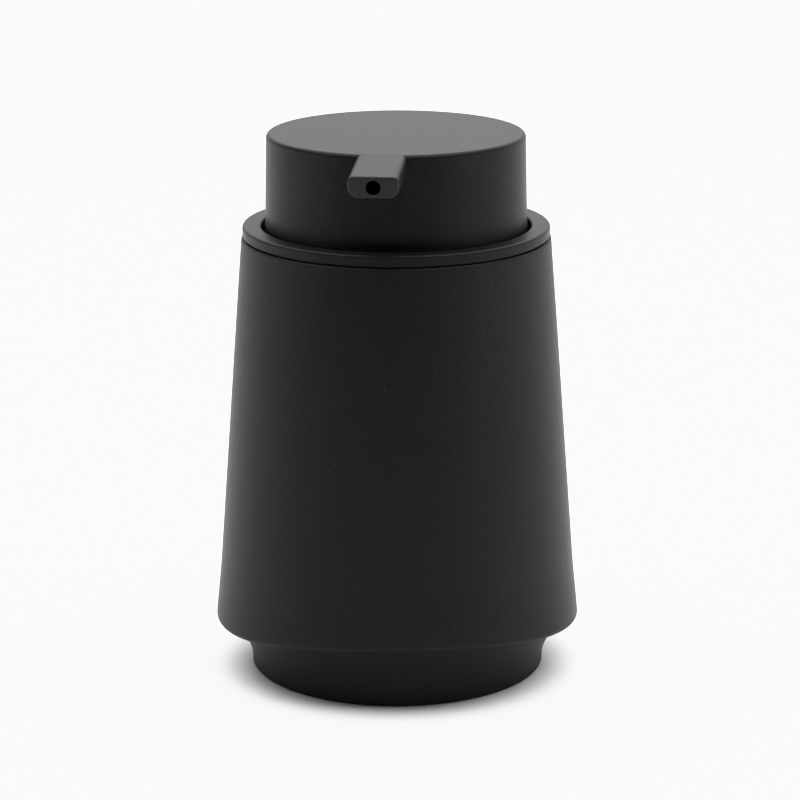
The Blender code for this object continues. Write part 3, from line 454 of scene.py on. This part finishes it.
def make_spout():
    """The spout's bar: its section, drawn out from within the cap's side, with rounded ends."""
    curve = bpy.data.curves.new("spout_bar", "CURVE")
    curve.dimensions = "2D"
    curve.fill_mode = "BOTH"
    curve.extrude = (SPOUT_LENGTH + SPOUT_SEAT) / 2 - SPOUT_END_EDGE
    curve.bevel_depth = SPOUT_END_EDGE
    curve.bevel_resolution = SPOUT_BEVEL_STEPS
    curve.offset = -SPOUT_END_EDGE
    spline = curve.splines.new("POLY")
    section = spout_section()
    spline.points.add(len(section) - 1)
    for point, (x, z) in zip(spline.points, section):
        point.co = (x, z, 0, 1)
    spline.use_cyclic_u = True
    guide = new_object("spout_guide", curve)
    place_on_spout(guide, (SPOUT_LENGTH - SPOUT_SEAT) / 2)
    mesh = evaluated_mesh(guide)
    mesh.transform(guide.matrix_world)
    shape = bmesh.new()
    shape.from_mesh(mesh)
    bmesh.ops.remove_doubles(shape, verts=shape.verts, dist=MERGE)
    bmesh.ops.recalc_face_normals(shape, faces=shape.faces)
    shape.to_mesh(mesh)
    shape.free()
    bpy.data.objects.remove(guide, do_unlink=True)
    return new_object("spout_bar", mesh)


def cap_outline():
    """The cap with its rounded edges, and the faint sink mark in the middle of its top."""
    rim = CAP_RIM_RADIUS - CAP_RIM_EDGE
    ceiling_corner = CAP_TOP_RADIUS - CAP_WALL - CAP_EDGE
    return [
        (0, TOTAL_HEIGHT - SINK_DEPTH),
        (SINK_INNER_RADIUS, TOTAL_HEIGHT - SINK_DEPTH),
        (SINK_OUTER_RADIUS, TOTAL_HEIGHT),
        (CAP_TOP_RADIUS - 3 * CAP_EDGE, TOTAL_HEIGHT),
        *arc(CAP_TOP_RADIUS - CAP_EDGE, TOTAL_HEIGHT - CAP_EDGE, CAP_EDGE, 90, 0, CAP_CORNER_STEPS),
        *arc(rim, CAP_BOTTOM + CAP_RIM_EDGE, CAP_RIM_EDGE, 0, -90, SMALL_CORNER_STEPS),
        (CAP_RIM_RADIUS - CAP_WALL, CAP_BOTTOM),
        *arc(ceiling_corner, CAP_CEILING - CAP_EDGE, CAP_EDGE, 0, 90, SMALL_CORNER_STEPS),
        (0, CAP_CEILING),
    ]


def make_cap():
    """The head: cap, spout with its bore, and the boss and ring that hold the channel inside."""
    cap = turned("press_head", cap_outline(), closed=False)
    boss_root = CAP_TOP_RADIUS - CAP_WALL / 2
    ring_top = (CAP_CEILING + TOTAL_HEIGHT) / 2
    ring_bottom = CAP_CEILING - RING_DEPTH
    ring_outline = [
        (RING_INNER_RADIUS, ring_top),
        (RING_OUTER_RADIUS, ring_top),
        (RING_OUTER_RADIUS, ring_bottom),
        (RING_INNER_RADIUS, ring_bottom),
    ]
    ring = turned("locating_ring", ring_outline, SMALL_FACETS)
    slot_radius = CHANNEL_SOCKET_RADIUS + FIT_GAP
    boss_radius = CHANNEL_SOCKET_RADIUS + BOSS_WALL
    socket_start = BOSS_END - OVERRUN
    slot = cylinder("ring_slot", slot_radius, 0, RING_OUTER_RADIUS + OVERRUN, CHANNEL_CENTRE)
    boolean(ring, slot, "DIFFERENCE")
    boss = cylinder("channel_boss", boss_radius, BOSS_END, boss_root, CHANNEL_CENTRE)
    socket = cylinder(
        "channel_socket", CHANNEL_SOCKET_RADIUS, socket_start, CHANNEL_END, CHANNEL_CENTRE
    )
    bore_start = CHANNEL_END - SPOUT_BORE_RADIUS / 2 - CAP_TOP_RADIUS
    bore_end = SPOUT_LENGTH + OVERRUN
    bore = cylinder("spout_bore", SPOUT_BORE_RADIUS, bore_start, bore_end)
    place_on_spout(bore, (bore_start + bore_end) / 2)
    for other, operation in (
        (make_spout(), "UNION"),
        (boss, "UNION"),
        (ring, "UNION"),
        (socket, "DIFFERENCE"),
        (bore, "DIFFERENCE"),
    ):
        boolean(cap, other, operation)
    shade(cap)
    return cap


# Lid moulding and pump, in view when the lid is lifted

def make_well():
    """The lid's moulding: flange, sleeve and a floor with rounded corners."""
    hole = BARREL_RADIUS + SLIDE_GAP
    flange_top = COLLAR_PLATE_BOTTOM - SEAT_GAP
    inner, outer = WELL_INNER_CORNER, WELL_CORNER
    outline = [
        (hole, WELL_FLOOR_TOP),
        *arc(WELL_INNER_RADIUS - inner, WELL_FLOOR_TOP + inner, inner, -90, 0),
        (WELL_INNER_RADIUS, flange_top),
        (WELL_FLANGE_RADIUS, flange_top),
        (WELL_FLANGE_RADIUS, COLLAR_BOTTOM),
        (WELL_OUTER_RADIUS, COLLAR_BOTTOM),
        *arc(WELL_OUTER_RADIUS - outer, WELL_FLOOR_BOTTOM + outer, outer, 0, -90),
        (hole, WELL_FLOOR_BOTTOM),
    ]
    well = turned("lid_moulding", outline)
    shade(well)
    return well


def make_mouth_seal():
    """A flange on the vessel's lip and a sleeve whose rounded lips wipe the mouth."""
    outline = [
        (SEAL_INNER_RADIUS, SEAL_FLANGE_TOP),
        (SEAL_FLANGE_RADIUS, SEAL_FLANGE_TOP),
        (SEAL_FLANGE_RADIUS, SEAL_FLANGE_BOTTOM),
        (SEAL_SLEEVE_RADIUS, SEAL_FLANGE_BOTTOM),
    ]
    for i in range(SEAL_LIPS):
        lip = SEAL_FLANGE_BOTTOM - (i + 1) * SEAL_LENGTH / (SEAL_LIPS + 1)
        outline += [
            (SEAL_SLEEVE_RADIUS, lip + SEAL_LIP_HEIGHT / 2),
            *arc(SEAL_LIP_RADIUS - SEAL_LIP_EDGE, lip, SEAL_LIP_EDGE, 60, -60, SMALL_CORNER_STEPS),
            (SEAL_SLEEVE_RADIUS, lip - SEAL_LIP_HEIGHT / 2),
        ]
    bottom = SEAL_FLANGE_BOTTOM - SEAL_LENGTH
    outline += [(SEAL_SLEEVE_RADIUS, bottom), (SEAL_INNER_RADIUS, bottom)]
    seal = turned("lip_seal", outline)
    shade(seal)
    return seal


def make_housing():
    """Flange, barrel, ball chamber with its seat, and the socket for the dip tube."""
    barrel_bottom = BARREL_FLOOR - CHAMBER_WALL
    chamber_outer = CHAMBER_RADIUS + CHAMBER_WALL
    socket_outer = TUBE_SOCKET_RADIUS + SOCKET_WALL
    socket_bottom = SOCKET_TOP - SOCKET_DEPTH
    outline = [
        (BARREL_BORE_RADIUS, HOUSING_TOP),
        (HOUSING_FLANGE_RADIUS, HOUSING_TOP),
        (HOUSING_FLANGE_RADIUS, HOUSING_FLANGE_BOTTOM),
        (BARREL_RADIUS, HOUSING_FLANGE_BOTTOM),
        *arc(BARREL_RADIUS - CHAMBER_WALL, BARREL_FLOOR, CHAMBER_WALL, 0, -90),
        (chamber_outer, barrel_bottom),
        (socket_outer, SOCKET_TOP),
        (socket_outer, socket_bottom),
        (TUBE_SOCKET_RADIUS, socket_bottom),
        (TUBE_SOCKET_RADIUS, SOCKET_TOP),
        (INLET_HOLE_RADIUS, SOCKET_TOP),
        (INLET_HOLE_RADIUS, INLET_SEAT_APEX + INLET_HOLE_RADIUS),
        (CHAMBER_RADIUS, INLET_SEAT_APEX + CHAMBER_RADIUS),
        (CHAMBER_RADIUS, BARREL_FLOOR),
        (BARREL_BORE_RADIUS, BARREL_FLOOR),
    ]
    housing = turned("pump_barrel", outline, SMALL_FACETS)
    shade(housing)
    return housing


def make_dip_tube():
    """The suction tube, cut slanting at its lower end."""
    outline = [
        (TUBE_BORE_RADIUS, TUBE_TOP),
        (TUBE_RADIUS, TUBE_TOP),
        (TUBE_RADIUS, TUBE_END_HEIGHT),
        (TUBE_BORE_RADIUS, TUBE_END_HEIGHT),
    ]
    tube = turned("suction_tube", outline, SMALL_FACETS)
    side = 4 * TUBE_RADIUS
    cutter = new_object("slanting_cut", mesh_by(bmesh.ops.create_cube, "slanting_cut", size=side))
    rise = TUBE_RADIUS * math.tan(TUBE_CUT) - side / 2 / math.cos(TUBE_CUT)
    cutter.location.z = TUBE_END_HEIGHT + rise
    cutter.rotation_euler.x = TUBE_CUT
    boolean(tube, cutter, "DIFFERENCE")
    shade(tube)
    return tube


def make_spring():
    """The return spring as a fine wire."""
    turns = 2 * SPRING_END_TURNS + SPRING_LIVE_TURNS
    low, high = SPRING_BOTTOM + SPRING_WIRE_RADIUS, SPRING_TOP - SPRING_WIRE_RADIUS
    end_rise = SPRING_END_TURNS * SPRING_END_PITCH
    live_pitch = (high - low - 2 * end_rise) / SPRING_LIVE_TURNS
    curve = bpy.data.curves.new("spring_wire", "CURVE")
    curve.dimensions = "3D"
    curve.bevel_depth = SPRING_WIRE_RADIUS
    curve.bevel_resolution = WIRE_BEVEL_STEPS
    curve.use_fill_caps = True
    spline = curve.splines.new("POLY")
    spline.points.add(turns * WIRE_STEPS_PER_TURN)
    for i, point in enumerate(spline.points):
        turn = i / WIRE_STEPS_PER_TURN
        live = min(max(turn - SPRING_END_TURNS, 0), SPRING_LIVE_TURNS)
        z = low + (turn - live) * SPRING_END_PITCH + live * live_pitch
        angle = math.tau * turn
        point.co = (SPRING_RADIUS * math.cos(angle), SPRING_RADIUS * math.sin(angle), z, 1)
    guide = new_object("spring_guide", curve)
    mesh = evaluated_mesh(guide)
    bpy.data.objects.remove(guide, do_unlink=True)
    spring = new_object("spring_wire", mesh)
    spring.data.shade_smooth()
    return spring


# Materials

class Nodes:
    """Short calls to add and link the nodes of one material."""

    def __init__(self, name):
        self.material = bpy.data.materials.new(name)
        self.material.use_nodes = True
        self.tree = self.material.node_tree
        self.shader = self.tree.nodes["Principled BSDF"]
        self.place = self.add("ShaderNodeTexCoord").outputs["Object"]

    def add(self, kind, values=None, **settings):
        node = self.tree.nodes.new(kind)
        for key, value in settings.items():
            setattr(node, key, value)
        for key, value in (values or {}).items():
            node.inputs[key].default_value = value
        return node

    def link(self, source, target):
        self.tree.links.new(source, target)

    def feed(self, socket, value):
        """Links another node's output to a socket, or sets the socket itself."""
        if hasattr(value, "links"):
            self.link(value, socket)
        else:
            socket.default_value = value

    def noise(self, scale, detail=2, roughness=0.5):
        values = {"Scale": scale, "Detail": detail, "Roughness": roughness}
        node = self.add("ShaderNodeTexNoise", values)
        self.link(self.place, node.inputs["Vector"])
        return node.outputs["Fac"]

    def spread(self, value, low, high, from_low=NOISE_LOW, from_high=NOISE_HIGH):
        """A value mapped to another range. Most of a noise lies in the range it is taken from."""
        node = self.add(
            "ShaderNodeMapRange",
            {"From Min": from_low, "From Max": from_high, "To Min": low, "To Max": high},
        )
        self.link(value, node.inputs["Value"])
        return node.outputs["Result"]

    def mix(self, share, first, second):
        """A mix of two colours, each a node's output or an (r, g, b)."""
        node = self.add("ShaderNodeMix", data_type="RGBA")
        for socket, value in ((node.inputs[6], first), (node.inputs[7], second)):
            self.feed(socket, value if hasattr(value, "links") else (*value, 1))
        self.link(share, node.inputs["Factor"])
        return node.outputs[2]

    def clouds(self, scale, first, second, detail=3):
        """Two colours that change into each other in faint clouds."""
        return self.mix(self.spread(self.noise(scale, detail), 0, 1), first, second)

    def varied(self, scale, middle, to_side):
        """A value that a noise moves to either side of a middle."""
        return self.spread(self.noise(scale), middle - to_side, middle + to_side)

    def specks(self, scale, size, share):
        """1 on a few small spots: those cells of a Voronoi pattern that a random value picks."""
        cells = self.add("ShaderNodeTexVoronoi", {"Scale": scale, "Randomness": 1.0})
        self.link(self.place, cells.inputs["Vector"])
        near = self.add("ShaderNodeMath", {1: size}, operation="LESS_THAN")
        self.link(cells.outputs["Distance"], near.inputs[0])
        split = self.add("ShaderNodeSeparateColor")
        self.link(cells.outputs["Color"], split.inputs["Color"])
        picked = self.add("ShaderNodeMath", {1: share}, operation="LESS_THAN")
        self.link(split.outputs["Red"], picked.inputs[0])
        both = self.add("ShaderNodeMath", operation="MULTIPLY")
        self.link(near.outputs["Value"], both.inputs[0])
        self.link(picked.outputs["Value"], both.inputs[1])
        return both.outputs["Value"]

    def bump(self, height, distance, strength):
        node = self.add("ShaderNodeBump", {"Distance": distance, "Strength": strength})
        self.link(height, node.inputs["Height"])
        self.link(node.outputs["Normal"], self.shader.inputs["Normal"])

    def set(self, **values):
        """Feeds the shader's sockets, named with _ for each space."""
        for key, value in values.items():
            self.feed(self.shader.inputs[key.replace("_", " ")], value)


def soft_touch(name, shade, colour, rough, gloss, dust, painted_end_light_start=None):
    """Matte soft-touch coat: fine grain, faint clouding, specks of dust, and painted light that
    makes the spout's end face and rim paler.
    """
    n = Nodes(name)
    cloud = n.clouds(COAT_CLOUD_SCALE, shade, colour)
    tone = n.mix(n.spread(n.noise(COAT_GRAIN_SCALE), 0, COAT_GRAIN_SHARE), cloud, COAT_GRAIN_COLOUR)
    # Painted light: past the given depth along -Y, the spout's end face and its rounded rim are
    # painted paler
    if painted_end_light_start is not None:
        split = n.add("ShaderNodeSeparateXYZ")
        n.link(n.place, split.inputs["Vector"])
        painted_end_light = n.spread(split.outputs["Y"], 1, 0, painted_end_light_start, painted_end_light_start + PAINTED_END_LIGHT_BLEND)
        tone = n.mix(painted_end_light, tone, PAINTED_END_LIGHT_COLOUR)
    dusty = n.mix(n.specks(DUST_SCALE, DUST_SIZE, dust), tone, DUST_COLOUR)
    n.set(Base_Color=dusty, Roughness=n.varied(COAT_ROUGH_SCALE, rough, COAT_ROUGH_RANGE))
    n.set(Specular_IOR_Level=gloss)
    grain = n.noise(COAT_BUMP_SCALE, roughness=COAT_BUMP_ROUGHNESS)
    n.bump(grain, COAT_BUMP_DEPTH, COAT_BUMP_STRENGTH)
    return n.material


def plastic(name, shade, colour, rough, grain, depth):
    """Moulded plastic or rubber: faint clouding and a grain."""
    n = Nodes(name)
    tone = n.clouds(PLASTIC_CLOUD_SCALE, shade, colour)
    n.set(Base_Color=tone, Roughness=n.varied(PLASTIC_ROUGH_SCALE, rough, PLASTIC_ROUGH_RANGE))
    n.bump(n.noise(grain), depth, PLASTIC_BUMP_STRENGTH)
    return n.material


def natural(name, shade, colour, rough):
    """Uncoloured plastic, slightly translucent, with faint clouding and a fine grain."""
    n = Nodes(name)
    tone = n.clouds(NATURAL_CLOUD_SCALE, shade, colour, detail=4)
    n.set(Base_Color=tone, Roughness=n.varied(NATURAL_ROUGH_SCALE, rough, NATURAL_ROUGH_RANGE))
    n.set(Subsurface_Weight=NATURAL_SUBSURFACE, Subsurface_Radius=(NATURAL_SUBSURFACE_REACH,) * 3)
    n.bump(n.noise(NATURAL_BUMP_SCALE, detail=1), NATURAL_BUMP_DEPTH, NATURAL_BUMP_STRENGTH)
    return n.material


def steel(name):
    """Bright drawn wire with a faint grain."""
    n = Nodes(name)
    tone = n.clouds(STEEL_CLOUD_SCALE, STEEL_SHADE, STEEL_COLOUR)
    rough = n.spread(n.noise(STEEL_ROUGH_SCALE), *STEEL_ROUGHNESS)
    n.set(Base_Color=tone, Roughness=rough, Metallic=1)
    n.bump(n.noise(STEEL_BUMP_SCALE, detail=1), STEEL_BUMP_DEPTH, STEEL_BUMP_STRENGTH)
    return n.material


FINISHES = {
    "soft_touch_vessel": (
        soft_touch,
        {
            "shade": (0.0046, 0.0046, 0.0047),
            "colour": (0.0056, 0.0056, 0.0057),
            "rough": 0.47,
            "gloss": 0.125,
            "dust": 0.07,
        },
    ),
    "soft_touch_lid": (
        soft_touch,
        {
            "shade": (0.0036, 0.0036, 0.0037),
            "colour": (0.0046, 0.0046, 0.0047),
            "rough": 0.43,
            "gloss": 0.122,
            "dust": 0.2,
            # Painted light: the depth past which the spout's end face is painted paler
            "painted_end_light_start": SPOUT_END_EDGE - SPOUT_REACH,
        },
    ),
    "black_plastic": (
        plastic,
        {
            "shade": (0.01, 0.01, 0.0105),
            "colour": (0.014, 0.014, 0.0145),
            "rough": 0.45,
            "grain": 1800,
            "depth": 0.00002,
        },
    ),
    "black_rubber": (
        plastic,
        {
            "shade": (0.008, 0.008, 0.008),
            "colour": (0.012, 0.012, 0.012),
            "rough": 0.75,
            "grain": 2600,
            "depth": 0.00003,
        },
    ),
    "natural_plastic": (
        natural,
        {"shade": (0.5, 0.505, 0.49), "colour": (0.56, 0.565, 0.55), "rough": 0.38},
    ),
    "soft_plastic": (
        natural,
        {"shade": (0.57, 0.575, 0.57), "colour": (0.63, 0.635, 0.63), "rough": 0.45},
    ),
    "steel": (steel, {}),
}
MATERIALS = {name: make(name, **values) for name, (make, values) in FINISHES.items()}


def finish_piece(obj, body, slot, *nodes):
    """Gives a fine piece its finish, its body and the nodes that it stands for."""
    obj.data.materials.clear()
    obj.data.materials.append(MATERIALS[slot])
    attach(obj, body)
    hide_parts(*nodes)


def carry_over():
    """Gives every node of the model the material of its slot, and smooth shading."""
    for sub in frame["record"]["subparts"]:
        obj = frame["nodes"][sub["node"]]
        obj.data.materials.clear()
        obj.data.materials.append(MATERIALS[sub["material_slot"]])
        smooth(obj, MODEL_SHARP_ANGLE)


def make_pieces():
    carry_over()
    finish_piece(make_vessel(), "vessel", "soft_touch_vessel", "vessel_body")
    finish_piece(make_pad(), "vessel", "black_rubber", "base_pad")
    finish_piece(make_collar(), "lid", "soft_touch_lid", "collar_ring")
    finish_piece(make_cap(), "head", "soft_touch_lid", "head_cap")
    finish_piece(make_well(), "lid", "black_plastic", "well_insert")
    finish_piece(make_mouth_seal(), "lid", "black_rubber", "mouth_seal")
    finish_piece(make_housing(), "lid", "natural_plastic", "pump_housing")
    finish_piece(make_dip_tube(), "lid", "soft_plastic", "dip_tube")
    spring = make_spring()
    finish_piece(spring, "lid", "steel", "return_spring")
    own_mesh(spring)


# Floor, light and camera

def make_floor():
    """A pale floor. Far out, beyond the lamp's reach, the camera sees it as pale as nearby."""
    middle = Matrix.Translation((0, FLOOR_SIZE - FLOOR_FRONT, 0))
    grid = {"x_segments": 1, "y_segments": 1, "size": FLOOR_SIZE, "matrix": middle}
    floor = new_object("floor", mesh_by(bmesh.ops.create_grid, "floor", **grid))
    n = Nodes("floor_paper")
    tone = n.clouds(PAPER_CLOUD_SCALE, PAPER_SHADE, PAPER_COLOUR)
    n.set(Base_Color=tone, Roughness=1, Specular_IOR_Level=0)
    away = n.add("ShaderNodeVectorMath", operation="LENGTH")
    n.link(n.place, away.inputs[0])
    glow = n.add("ShaderNodeMath", operation="MULTIPLY")
    n.link(n.spread(away.outputs["Value"], 0, FLOOR_GLOW, *FLOOR_GLOW_REACH), glow.inputs[0])
    n.link(n.add("ShaderNodeLightPath").outputs["Is Camera Ray"], glow.inputs[1])
    n.set(Emission_Strength=glow.outputs["Value"], Emission_Color=(1, 1, 1, 1))
    floor.data.materials.append(n.material)


def make_lamp():
    """A wide strip lamp overhead, which shines straight down."""
    light = bpy.data.lights.new("overhead", "AREA")
    light.shape = "RECTANGLE"
    light.size, light.size_y = LAMP_SIZE
    light.energy = LAMP_POWER
    new_object("overhead", light).location = LAMP_PLACE


def make_surroundings():
    """Soft boxes at both sides and high behind, and a dark front. The camera sees one even tone."""
    world = bpy.data.worlds.new("studio")
    bpy.context.scene.world = world
    world.use_nodes = True
    tree = world.node_tree
    back = tree.nodes["Background"]
    place = tree.nodes.new("ShaderNodeTexCoord")
    split = tree.nodes.new("ShaderNodeSeparateXYZ")
    tree.links.new(place.outputs["Generated"], split.inputs["Vector"])

    def ramp(axis, start, end, low, high):
        node = tree.nodes.new("ShaderNodeMapRange")
        node.interpolation_type = "SMOOTHSTEP"
        values = {"From Min": start, "From Max": end, "To Min": low, "To Max": high}
        for key, value in values.items():
            node.inputs[key].default_value = value
        tree.links.new(split.outputs[axis], node.inputs["Value"])
        return node.outputs["Result"]

    def combine(operation, *parts):
        total = parts[0]
        for part in parts[1:]:
            node = tree.nodes.new("ShaderNodeMath")
            node.operation = operation
            tree.links.new(total, node.inputs[0])
            tree.links.new(part, node.inputs[1])
            total = node.outputs["Value"]
        return total

    sides = combine("MULTIPLY", *(ramp(*values) for values in SIDE_BOXES))
    high = combine("MULTIPLY", *(ramp(*values) for values in HIGH_BOX))
    seen = tree.nodes.new("ShaderNodeLightPath")
    choice = tree.nodes.new("ShaderNodeMix")
    choice.inputs["B"].default_value = BACKDROP
    tree.links.new(seen.outputs["Is Camera Ray"], choice.inputs["Factor"])
    tree.links.new(combine("ADD", sides, high), choice.inputs["A"])
    tree.links.new(choice.outputs["Result"], back.inputs["Strength"])
    back.inputs["Color"].default_value = (1, 1, 1, 1)


def soften_whites():
    """A shoulder on the view curve, so that the floor stays pale grey under the most light."""
    view = bpy.context.scene.view_settings
    view.use_curve_mapping = True
    mapping = view.curve_mapping
    mapping.white_level = (WHITE_LEVEL,) * 3
    curve = mapping.curves[3]
    for x, y in WHITE_SHOULDER[:-2]:
        curve.points.new(x / WHITE_LEVEL, y)
    for point, (x, y) in zip(curve.points, WHITE_SHOULDER):
        point.location = (x / WHITE_LEVEL, y)
    mapping.update()


def make_camera():
    """The photograph's camera, placed round the turning axis."""
    camera = bpy.data.cameras.new("camera")
    camera.sensor_width = SENSOR_MM
    camera.lens = SENSOR_MM * FOCAL_PIXELS / FRAME_PIXELS
    camera.clip_start, camera.clip_end = CLIP_START, CLIP_END
    obj = new_object("camera", camera)
    heading = CAMERA_AZIMUTH + CAMERA_YAW
    turn = (
        Matrix.Rotation(heading, 4, "Z")
        @ Matrix.Rotation(math.pi / 2 - CAMERA_PITCH, 4, "X")
        @ Matrix.Rotation(CAMERA_ROLL, 4, "Z")
    )
    x = CAMERA_DISTANCE * math.sin(CAMERA_AZIMUTH)
    y = -CAMERA_DISTANCE * math.cos(CAMERA_AZIMUTH)
    obj.matrix_world = Matrix.Translation((x, y, CAMERA_HEIGHT)) @ turn
    bpy.context.scene.camera = obj
    bpy.context.scene.view_settings.view_transform = "Standard"
    bpy.context.scene.view_settings.look = "None"


make_pieces()
make_floor()
make_surroundings()
make_lamp()
make_camera()
soften_whites()
